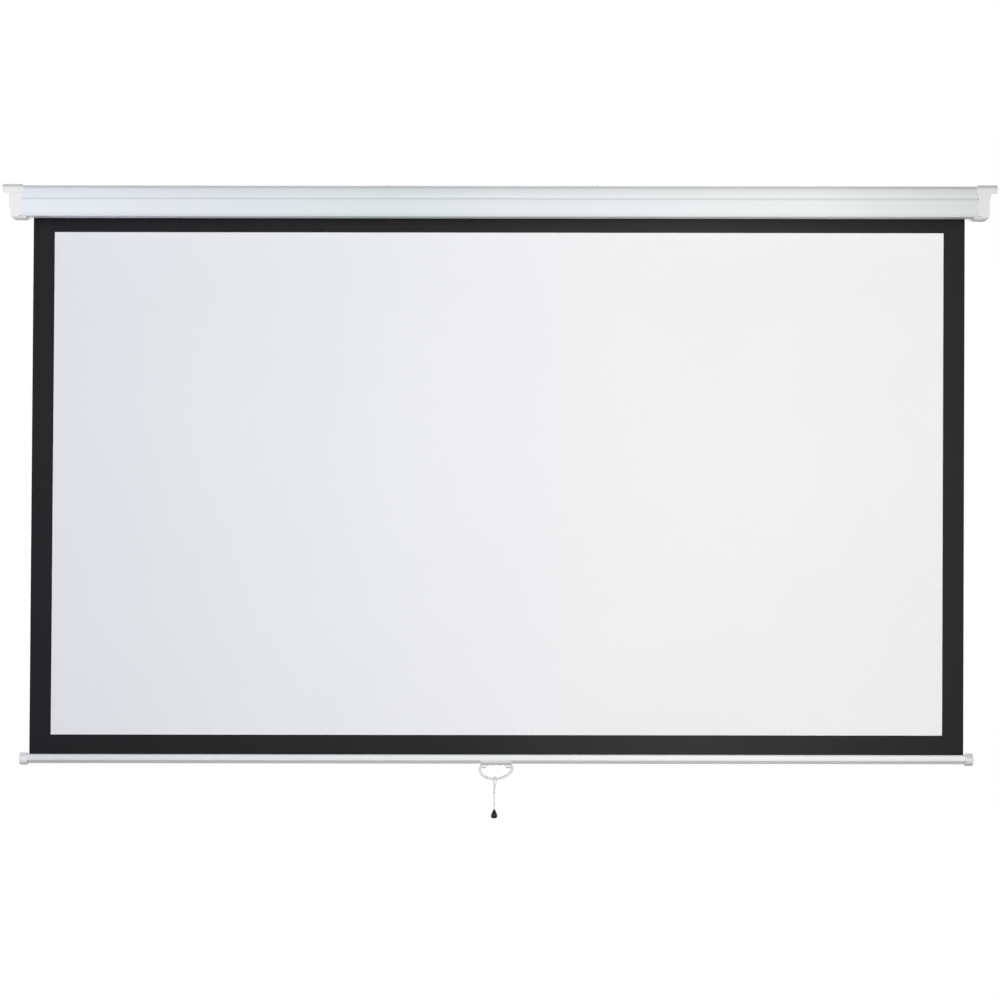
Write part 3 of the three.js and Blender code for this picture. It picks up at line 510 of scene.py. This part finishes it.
nodeFinishes = {
    platedSteel: ["cap_screw_left_upper", "cap_screw_left_lower", "cap_screw_right_upper",
                  "cap_screw_right_lower", "spring_arbor", "idler_pin", "hem_rod",
                  "saddle_screw_left", "saddle_screw_right", "top_rivet_left", "top_rivet_right"],
    zincSheet: ["roller_bracket_left", "roller_bracket_right", "roller_tube", "top_stiffener"],
    castZinc: ["ratchet_wheel", "pawl_upper", "pawl_lower", "spring_anchor"],
    springSteel: ["torsion_spring"],
    nylon: ["pawl_carrier", "idler_plug", "spring_driver"],
    blackNylon: ["idler_bush"],
}
for material, names in nodeFinishes.items():
    for nodeName in names:
        nodes[nodeName].data.materials.clear()
        nodes[nodeName].data.materials.append(material)
print("materials made")


# Pull cord and its pull

cordShape = {
    "radius": 1.1 * mm,
    "knotRadius": 2.6 * mm,
    "knotStretch": (0.95, 0.95, 1.25),
    "knotDrop": 35 * mm,
    "pullGap": 0.1 * mm,
    # millimetres from the wire's lowest middle: up from the knot, over the wire and back
    "line": [(0, -1.2, -34), (-0.3, -1.7, -26), (-0.5, -2.4, -19), (-0.7, -3.2, -12), (-0.8, -4, -5.5),
             (-0.8, -4.45, 0), (0.3, -3.85, 2.3), (1.4, -2.2, 3.9), (2.4, 0, 4.5),
             (3.4, 2.2, 3.95), (4.5, 3.85, 2.45), (5.5, 4.5, 0.2),
             (5.2, 4.1, -5.5), (4.2, 3.3, -12), (2.8, 2.5, -19), (1.4, 1.8, -26), (0, 1.2, -34)],
    # which of these is where the front strand leaves the wire
    "leaves": 4,
    # on down from the knot
    "tail": [-37, -45, -54, -63],
}

handleLow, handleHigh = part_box("pull_handle")
pullLow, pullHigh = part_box("cord_pull")
barLow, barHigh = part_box("weight_bar")
barMiddle = (barLow.x + barHigh.x) / 2
wireRadius = 3 * mm
wireLean = -5 * mm  # from the bar's middle to the wire's lowest point
wireY = (handleLow.y + handleHigh.y) / 2
cordTop = Vector((barMiddle + wireLean, wireY, handleLow.z + wireRadius))
pullTop = Vector((cordTop.x, cordTop.y, pullHigh.z))


def cordRoute():
    # up from the knot, over the handle, back to the knot and down to the pull
    places = [Vector(place) * mm for place in cordShape["line"]]
    places += [Vector((0, 0, z)) * mm for z in cordShape["tail"]]
    return [cordTop + place for place in places] + [pullTop - Vector((0, 0, cordShape["pullGap"]))]


def makeCord():
    route = cordRoute()
    line = bpy.data.curves.new("pullCord", "CURVE")
    line.dimensions = "3D"
    line.bevel_depth = cordShape["radius"]
    line.bevel_resolution = 4
    line.resolution_u = 8
    line.use_fill_caps = True
    spline = line.splines.new("NURBS")
    spline.points.add(len(route) - 1)
    for spot, place in zip(spline.points, route):
        spot.co = (*place, 1)
    spline.order_u = 3
    spline.use_endpoint_u = True
    cord = bpy.data.objects.new("pullCord", line)
    scene.collection.objects.link(cord)
    length = sum((b - a).length for a, b in zip(route, route[1:]))
    dress(cord, whiteCord, "cord", "white_cord", "pull_cord")
    return cord, length


def makeKnot():
    deselectAll()
    bpy.ops.mesh.primitive_uv_sphere_add(segments=32, ring_count=20, radius=cordShape["knotRadius"],
                                         location=cordTop - Vector((0, 0, cordShape["knotDrop"])))
    knot = bpy.context.object
    startEdit(knot)
    bpy.ops.mesh.select_all(action="SELECT")
    bpy.ops.transform.resize(value=cordShape["knotStretch"])
    endEdit()
    settle(knot, "cordKnot")
    smooth(knot, roundAngle)
    return dress(knot, whiteCord, "cord", "white_cord")


pullShape = {
    # from the foot up: shares of the height, and of the radius there
    "widthShares": [(0, 0.36), (0.05, 0.64), (0.12, 0.86), (0.22, 0.98), (0.34, 0.99), (0.48, 0.88),
                    (0.64, 0.68), (0.8, 0.47), (0.92, 0.33), (1, 0.24)],
    # how steeply the two ends open out from the axis
    "endSlope": 4,
}
axisReach = 1e-9  # metres from the axis that count as on it


def makePull():
    # a ball that is drawn out upwards into a blunt neck
    low, high = pullLow, pullHigh
    middle = (low + high) / 2
    radius = (high.x - low.x) / 2
    shares = pullShape["widthShares"]
    deselectAll()
    bpy.ops.mesh.primitive_uv_sphere_add(segments=48, ring_count=40, radius=radius, location=middle)
    pull = settle(bpy.context.object, "cordPull")

    def widthAt(share):
        for (a, widthA), (b, widthB) in zip(shares, shares[1:]):
            if share <= b:
                return widthA + (widthB - widthA) * (share - a) / (b - a)
        return shares[-1][1]

    for vertex in pull.data.vertices:
        offset = vertex.co - middle
        fromTop = math.acos(max(-1, min(1, offset.z / radius)))
        share = 1 - fromTop / math.pi
        flat = math.hypot(offset.x, offset.y)
        spread = widthAt(share) * radius * min(1, math.sin(fromTop) * pullShape["endSlope"])
        scale = spread / flat if flat > axisReach else 0
        vertex.co = Vector((middle.x + offset.x * scale, middle.y + offset.y * scale,
                            low.z + share * (high.z - low.z)))
    smooth(pull, roundAngle)
    return dress(pull, glossBlack, "cord", "gloss_black", "cord_pull")


pullPiece = makePull()
knotPiece = makeKnot()
cordPiece, cordLength = makeCord()
print("cord made")


# Sheets folded along X: a flange is drawn out corner by corner, then each fold is rounded

def foldedSheet(name, lowX, highX, corners, wall, segments=8):
    first, second = corners[0], corners[1]
    deselectAll()
    bpy.ops.mesh.primitive_plane_add(size=1)
    piece = bpy.context.object
    for vertex in piece.data.vertices:
        end = first if vertex.co.y < 0 else second
        vertex.co = (lowX if vertex.co.x < 0 else highX, end[0], end[1])
    startEdit(piece)
    pick(piece, lambda place: near(place.y, second[0]) and near(place.z, second[1]))
    for before, after in zip(corners[1:], corners[2:]):
        step = (0, after[0] - before[0], after[1] - before[1])
        bpy.ops.mesh.extrude_region_move(TRANSFORM_OT_translate={"value": step})
    for i in range(1, len(corners) - 1):
        y, z, radius = corners[i]
        back = Vector((corners[i - 1][0] - y, corners[i - 1][1] - z)).normalized()
        on = Vector((corners[i + 1][0] - y, corners[i + 1][1] - z)).normalized()
        turnHalf = (math.pi - back.angle(on)) / 2
        if radius:
            pick(piece, lambda place: near(place.y, y) and near(place.z, z))
            bpy.ops.mesh.bevel(offset=radius * math.tan(turnHalf), segments=segments,
                               offset_type="OFFSET", clamp_overlap=False)
    bpy.ops.mesh.select_all(action="SELECT")
    bpy.ops.mesh.normals_make_consistent(inside=False)
    endEdit()
    modify(piece, "SOLIDIFY", thickness=wall, offset=-1)
    return settle(piece, name)


# Casing

casingShape = {
    "sheet": 1 * mm,
    "crownRadius": 13 * mm,
    "backRadius": 3 * mm,
    "lipRadius": 1.6 * mm,
    # how far the back stops short of the foot
    "backCut": 6 * mm,
    "lipDepth": 36 * mm,
    "lipReturn": 5 * mm,
    "capEdge": 0.45 * mm,
    # shares of the depth forward, of the height down and of the crown's radius
    "frontShares": [(0.951, 0, 1), (0.994, 0.318, 0.45), (0.97, 0.392, 0.3), (1, 0.466, 0.45),
                    (1, 0.905, 0.22), (0.986, 0.927, 0.09), (0.993, 0.95, 0.13), (0.978, 1, 0.29)],
}


def makeCasing():
    low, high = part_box("case_shell")
    depth, height = high.y - low.y, high.z - low.z
    lipEdge = low.y + casingShape["lipDepth"]
    crown = casingShape["crownRadius"]
    front = [(high.y - a * depth, high.z - b * height, c * crown)
             for a, b, c in casingShape["frontShares"]]
    corners = ([(high.y, low.z + casingShape["backCut"], 0), (high.y, high.z, casingShape["backRadius"])]
               + front + [(lipEdge, low.z, casingShape["lipRadius"]),
                          (lipEdge, low.z + casingShape["lipReturn"], 0)])
    casing = foldedSheet("casing", low.x, high.x, corners, casingShape["sheet"])
    smooth(casing, foldAngle)
    dress(casing, caseEnamel, "casing", "casing_enamel", "case_shell")


makeCasing()
for side in ("left", "right"):
    cap = finerCopy("end_cap_" + side, "endCap" + side.title(), casingShape["capEdge"])
    dress(cap, whiteMoulding, "casing", "white_moulding", "end_cap_" + side)
print("casing made")


# Screen: the picture with its side borders, and the strip below it that rides on the bar

screenShape = {
    "sideBorder": 53 * mm,
    "clothStep": 60 * mm,
}


def makeSheet(low, high, cutsAcross, cutsDown):
    # a flat cloth, cut into squares and along the given places on X and on Z
    deselectAll()
    bpy.ops.mesh.primitive_plane_add(size=1)
    piece = bpy.context.object
    front = low.y
    for vertex in piece.data.vertices:
        vertex.co = (low.x if vertex.co.x < 0 else high.x, front, low.z if vertex.co.y < 0 else high.z)
    startEdit(piece)
    step = screenShape["clothStep"]
    columns = int((high.x - low.x) / step)
    rows = max(1, int((high.z - low.z) / step))
    across = [low.x + (high.x - low.x) * i / columns for i in range(1, columns)]
    down = [low.z + (high.z - low.z) * i / rows for i in range(1, rows)]
    for x in across + cutsAcross:
        bpy.ops.mesh.select_all(action="SELECT")
        bpy.ops.mesh.bisect(plane_co=(x, front, 0), plane_no=(1, 0, 0))
    for z in down + cutsDown:
        bpy.ops.mesh.select_all(action="SELECT")
        bpy.ops.mesh.bisect(plane_co=(0, front, z), plane_no=(0, 0, 1))
    endEdit()
    return piece


def faceForward(piece):
    # the faces point out of the front
    startEdit(piece)
    bpy.ops.mesh.select_all(action="SELECT")
    shape = bmesh.from_edit_mesh(piece.data)
    shape.normal_update()
    shape.faces.ensure_lookup_table()
    if shape.faces[0].normal.y > 0:
        bpy.ops.mesh.flip_normals()
    endEdit()


backLow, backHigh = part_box("screen_backing")
wrapLow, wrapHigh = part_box("screen_wraps")
clothThickness = backHigh.y - backLow.y
halfScreen = (wrapHigh.x - wrapLow.x) / 2
rollMiddle = (wrapLow.x + wrapHigh.x) / 2


def slant(piece):
    # centred on the roller above and on the bar below, which hangs a little to the left
    for vertex in piece.data.vertices:
        share = (vertex.co.z - backLow.z) / (backHigh.z - backLow.z)
        vertex.co.x += barMiddle + (rollMiddle - barMiddle) * share


def makePicture():
    low = Vector((-halfScreen, backLow.y, faceLow.z))
    high = Vector((halfScreen, backLow.y, backHigh.z))
    edges = [low.x + screenShape["sideBorder"], high.x - screenShape["sideBorder"]]
    piece = makeSheet(low, high, edges, [faceHigh.z])
    faceForward(piece)
    piece.data.materials.clear()
    # the picture, the border, and the back of the border
    for material in (whiteCloth, blackCloth, blackCloth):
        piece.data.materials.append(material)
    for face in piece.data.polygons:
        spot = face.center
        isPicture = edges[0] < spot.x < edges[1] and spot.z < faceHigh.z
        face.material_index = 0 if isPicture else 1
    slant(piece)
    modify(piece, "SOLIDIFY", thickness=clothThickness, offset=-1, material_offset=1, material_offset_rim=1)
    settle(piece, "pictureCloth")
    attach(piece, "casing")
    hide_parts("screen_face", "screen_backing")
    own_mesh(piece)


def makeLowerBorder():
    low = Vector((-halfScreen, backLow.y, backLow.z))
    high = Vector((halfScreen, backLow.y, faceLow.z))
    piece = makeSheet(low, high, [], [])
    faceForward(piece)
    slant(piece)
    modify(piece, "SOLIDIFY", thickness=clothThickness, offset=-1)
    settle(piece, "lowerBorder")
    dress(piece, blackCloth, "bar", "black_cloth")


makePicture()
makeLowerBorder()


wrapShape = {
    "turns": 2,
    "steps": 72,
    "tubeGap": 0.3 * mm,
}


def makeWraps():
    # the last turns on the roller, drawn as a spiral that leaves it on the wall side
    low, high = wrapLow, wrapHigh
    tubeLow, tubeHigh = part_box("roller_tube")
    axis = (tubeLow + tubeHigh) / 2
    outer = high.y - axis.y - clothThickness / 2
    inner = (tubeHigh.z - tubeLow.z) / 2 + wrapShape["tubeGap"] + clothThickness / 2
    turns = wrapShape["turns"]
    deselectAll()
    bpy.ops.mesh.primitive_plane_add(size=1)
    piece = bpy.context.object
    total = turns * wrapShape["steps"]

    def spot(i):
        share = i / total
        radius = outer - (outer - inner) * share
        angle = 2 * math.pi * turns * share
        return Vector((0, axis.y + radius * math.cos(angle), axis.z + radius * math.sin(angle)))

    for vertex in piece.data.vertices:
        end = spot(0) if vertex.co.y < 0 else spot(1)
        vertex.co = (low.x if vertex.co.x < 0 else high.x, end.y, end.z)
    startEdit(piece)
    pick(piece, lambda place: near(place.y, spot(1).y) and near(place.z, spot(1).z))
    for i in range(1, total):
        bpy.ops.mesh.extrude_region_move(TRANSFORM_OT_translate={"value": spot(i + 1) - spot(i)})
    endEdit()
    modify(piece, "SOLIDIFY", thickness=clothThickness, offset=0)
    settle(piece, "wrapCloth")
    smooth(piece, windingAngle)
    dress(piece, blackCloth, "roller", "black_cloth", "screen_wraps")


makeWraps()
print("screen made")


# Weight bar and its caps

barShape = {
    "wall": 1.5 * mm,
    "topRadius": 4 * mm,
    "baseRadius": 8 * mm,
    # how much of the front's foot is turned under, at 45 degrees
    "chamfer": 9 * mm,
    "chamferRadius": 2.2 * mm,
    "slot": 3.4 * mm,
    # how far the bar goes into its caps
    "capGrip": 12 * mm,
    "capGap": 0.3 * mm,
    "capOverrun": 2 * mm,
    "outerRound": 3.6 * mm,
    "innerRound": 1.6 * mm,
}


def makeBar():
    low, high = barLow, barHigh
    middle = (low.y + high.y) / 2
    half = barShape["slot"] / 2
    cut, bend = barShape["chamfer"], barShape["chamferRadius"]
    corners = [(middle - half, high.z, 0), (low.y, high.z, barShape["topRadius"]),
               (low.y, low.z + cut, bend), (low.y + cut, low.z, bend),
               (high.y, low.z, barShape["baseRadius"]), (high.y, high.z, barShape["topRadius"]),
               (middle + half, high.z, 0)]
    bar = foldedSheet("weightBar", low.x, high.x, corners, barShape["wall"], segments=10)
    smooth(bar, foldAngle)
    dress(bar, barEnamel, "bar", "bar_enamel", "weight_bar")


def makeBarCap(side):
    # a short round block, eased at both ends, with a socket that fits round the bar's end
    low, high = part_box("bar_cap_" + side)
    middle = (low + high) / 2
    deselectAll()
    bpy.ops.mesh.primitive_cylinder_add(vertices=96, radius=(high.y - low.y) / 2, depth=high.x - low.x,
                                        location=middle, rotation=(0, math.pi / 2, 0))
    cap = settle(bpy.context.object, "barCap" + side.title())
    outside, inside = (low.x, high.x) if side == "left" else (high.x, low.x)
    inwards = 1 if side == "left" else -1
    startEdit(cap)
    pick(cap, lambda place: near(place.x, outside))
    bpy.ops.mesh.bevel(offset=barShape["outerRound"], segments=8)
    pick(cap, lambda place: near(place.x, inside))
    bpy.ops.mesh.bevel(offset=barShape["innerRound"], segments=5)
    endEdit()
    grow = barShape["capGap"]
    deselectAll()
    bpy.ops.mesh.primitive_cube_add(size=1)
    socket = bpy.context.object
    innerEnd = inside + inwards * barShape["capOverrun"]
    farEnd = inside - inwards * (barShape["capGrip"] + grow)
    for vertex in socket.data.vertices:
        x = min(innerEnd, farEnd) if vertex.co.x < 0 else max(innerEnd, farEnd)
        y = barLow.y - grow if vertex.co.y < 0 else barHigh.y + grow
        z = barLow.z - grow if vertex.co.z < 0 else barHigh.z + grow
        vertex.co = (x, y, z)
    startEdit(socket)
    for level, radiusName in ((barLow.z - grow, "baseRadius"), (barHigh.z + grow, "topRadius")):
        for y in (barLow.y - grow, barHigh.y + grow):
            pick(socket, lambda place: near(place.z, level) and near(place.y, y))
            bpy.ops.mesh.bevel(offset=barShape[radiusName] + grow, segments=8)
    endEdit()
    modify(cap, "BOOLEAN", operation="DIFFERENCE", object=socket, solver="EXACT")
    bpy.data.objects.remove(socket)
    smooth(cap, foldAngle)
    dress(cap, whiteMoulding, "bar", "white_moulding", "bar_cap_" + side)


makeBar()
for side in ("left", "right"):
    makeBarCap(side)
print("bar made")


# Handle: the saddle under the bar and the bent wire

handleShape = {
    # from the middle to the wire's ends and to its widest points
    "wireEnd": 26 * mm,
    "reach": 40.25 * mm,
    "corner": 5 * mm,
    "cornerSteps": 12,
    "bowSteps": 64,
    "saddleEdge": 0.35 * mm,
}


def makeHandle():
    # from the saddle out along X, round a corner each side, and down in half an ellipse that leans
    low, high = handleLow, handleHigh
    corner, reach, wireEnd = handleShape["corner"], handleShape["reach"], handleShape["wireEnd"]
    middle = Vector((barMiddle, wireY, high.z - wireRadius))
    drop = (high.z - low.z) - 2 * wireRadius - corner
    shoulder = reach - corner
    right = [(wireEnd, 0), ((wireEnd + shoulder) / 2, 0)]
    for i in range(handleShape["cornerSteps"]):
        angle = math.pi / 2 * (1 - i / handleShape["cornerSteps"])
        right.append((shoulder + corner * math.cos(angle), corner * (math.sin(angle) - 1)))
    bow = []
    for i in range(handleShape["bowSteps"] + 1):
        angle = math.pi * i / handleShape["bowSteps"]
        down = math.sin(angle)
        bow.append((reach * math.cos(angle) + wireLean * down, -corner - drop * down))
    left = [(-x, z) for x, z in reversed(right)]
    line = bpy.data.curves.new("pullHandle", "CURVE")
    line.dimensions = "3D"
    line.bevel_depth = wireRadius
    line.bevel_resolution = 8
    line.resolution_u = 2
    line.use_fill_caps = True
    spline = line.splines.new("POLY")
    path = right + bow + left
    spline.points.add(len(path) - 1)
    for spot, (x, z) in zip(spline.points, path):
        spot.co = (middle.x + x, middle.y, middle.z + z, 1)
    handle = bpy.data.objects.new("pullHandle", line)
    scene.collection.objects.link(handle)
    choose(handle)
    bpy.ops.object.convert(target="MESH")
    handle = bpy.context.object
    settle(handle, "pullHandle")
    smooth(handle, roundAngle)
    dress(handle, paleMoulding, "handle", "white_moulding", "pull_handle")


makeHandle()
saddle = finerCopy("handle_saddle", "handleSaddle", handleShape["saddleEdge"])
dress(saddle, paleMoulding, "bar", "white_moulding", "handle_saddle")
print("handle made")


# Floor, room and light

stageShape = {
    "floorDrop": 700 * mm,
    "floorSize": 30,
    "floorColour": (0.35, 0.35, 0.35, 1),
}

lights = {
    # the room is brighter round the horizon than overhead and below
    "horizon": 0.42,
    "overhead": 0.06,
    "overheadFrom": 0.7,  # how far up, or down, of a straight 1
    "key": {"energy": 106, "size": 2.0, "place": (0.7, -3.9, -0.6), "aim": (0.6, 0, -0.65)},
    "fill": {"energy": 34, "size": 2.0, "place": (-1.9, -3.7, 0.2), "aim": (-1.1, 0, -0.3)},
    # for views from behind, from above and from the sides
    "rear": {"energy": 90, "size": 3.0, "place": (-0.8, 4.6, 0.2), "aim": (0, 0, -0.6)},
    "above": {"energy": 75, "size": 3.0, "place": (0, 2.4, 3.4), "aim": (0, 0, 0)},
    "leftSide": {"energy": 85, "size": 2.0, "place": (-5.2, 0.4, 0.2), "aim": (-1.2, 0, -0.3)},
    "rightSide": {"energy": 85, "size": 2.0, "place": (5.2, 0.4, 0.2), "aim": (1.2, 0, -0.3)},
}


def addSeen(tree):
    # 1 for the camera and for what shows in reflections and through glass, and otherwise 0
    rays = tree.nodes.new("ShaderNodeLightPath")
    total = rays.outputs["Is Camera Ray"]
    for name in ("Is Glossy Ray", "Is Transmission Ray"):
        most = tree.nodes.new("ShaderNodeMath")
        most.operation = "MAXIMUM"
        tree.links.new(total, most.inputs[0])
        tree.links.new(rays.outputs[name], most.inputs[1])
        total = most.outputs["Value"]
    return total


def stageMaterial():
    # pale for the camera and in reflections, a plain diffuse floor for everything else
    material = bpy.data.materials.new("paleFloor")
    material.use_nodes = True
    tree = material.node_tree
    tree.nodes.clear()
    seen = addSeen(tree)
    matte = tree.nodes.new("ShaderNodeBsdfDiffuse")
    matte.inputs["Color"].default_value = stageShape["floorColour"]
    glow = tree.nodes.new("ShaderNodeEmission")
    mix = tree.nodes.new("ShaderNodeMixShader")
    out = tree.nodes.new("ShaderNodeOutputMaterial")
    tree.links.new(seen, mix.inputs["Fac"])
    tree.links.new(matte.outputs["BSDF"], mix.inputs[1])
    tree.links.new(glow.outputs["Emission"], mix.inputs[2])
    tree.links.new(mix.outputs["Shader"], out.inputs["Surface"])
    return material


def makeFloor():
    deselectAll()
    bpy.ops.mesh.primitive_plane_add(size=stageShape["floorSize"],
                                     location=(0, 0, pullLow.z - stageShape["floorDrop"]))
    floor = settle(bpy.context.object, "floor")
    floor.data.materials.append(stageMaterial())


def makeWorld():
    world = bpy.data.worlds.new("paleRoom")
    scene.world = world
    world.use_nodes = True
    tree = world.node_tree
    tree.nodes.clear()
    seen = addSeen(tree)
    place = tree.nodes.new("ShaderNodeTexCoord")
    parts = tree.nodes.new("ShaderNodeSeparateXYZ")
    tree.links.new(place.outputs["Generated"], parts.inputs["Vector"])
    level = tree.nodes.new("ShaderNodeMath")
    level.operation = "ABSOLUTE"
    tree.links.new(parts.outputs["Z"], level.inputs[0])
    strength = addRange(tree, level.outputs["Value"], lights["horizon"], lights["overhead"],
                        end=lights["overheadFrom"])
    white = tree.nodes.new("ShaderNodeBackground")
    white.inputs["Strength"].default_value = 1
    white.inputs["Color"].default_value = (1, 1, 1, 1)
    room = tree.nodes.new("ShaderNodeBackground")
    tree.links.new(strength, room.inputs["Strength"])
    room.inputs["Color"].default_value = (1, 1, 1, 1)
    mix = tree.nodes.new("ShaderNodeMixShader")
    out = tree.nodes.new("ShaderNodeOutputWorld")
    tree.links.new(seen, mix.inputs["Fac"])
    tree.links.new(room.outputs["Background"], mix.inputs[1])
    tree.links.new(white.outputs["Background"], mix.inputs[2])
    tree.links.new(mix.outputs["Shader"], out.inputs["Surface"])


def makeLamp(name, energy, size, place, aim):
    deselectAll()
    bpy.ops.object.light_add(type="AREA", location=place)
    lamp = bpy.context.object
    lamp.name = name
    lamp.data.energy = energy
    lamp.data.size = size
    lamp.visible_camera = False
    lamp.rotation_euler = (Vector(aim) - Vector(place)).to_track_quat("-Z", "Y").to_euler()


makeFloor()
makeWorld()
for lampName in ("key", "fill", "rear", "above", "leftSide", "rightSide"):
    makeLamp(lampName, **lights[lampName])
scene.view_settings.view_transform = "Standard"
print("light set")
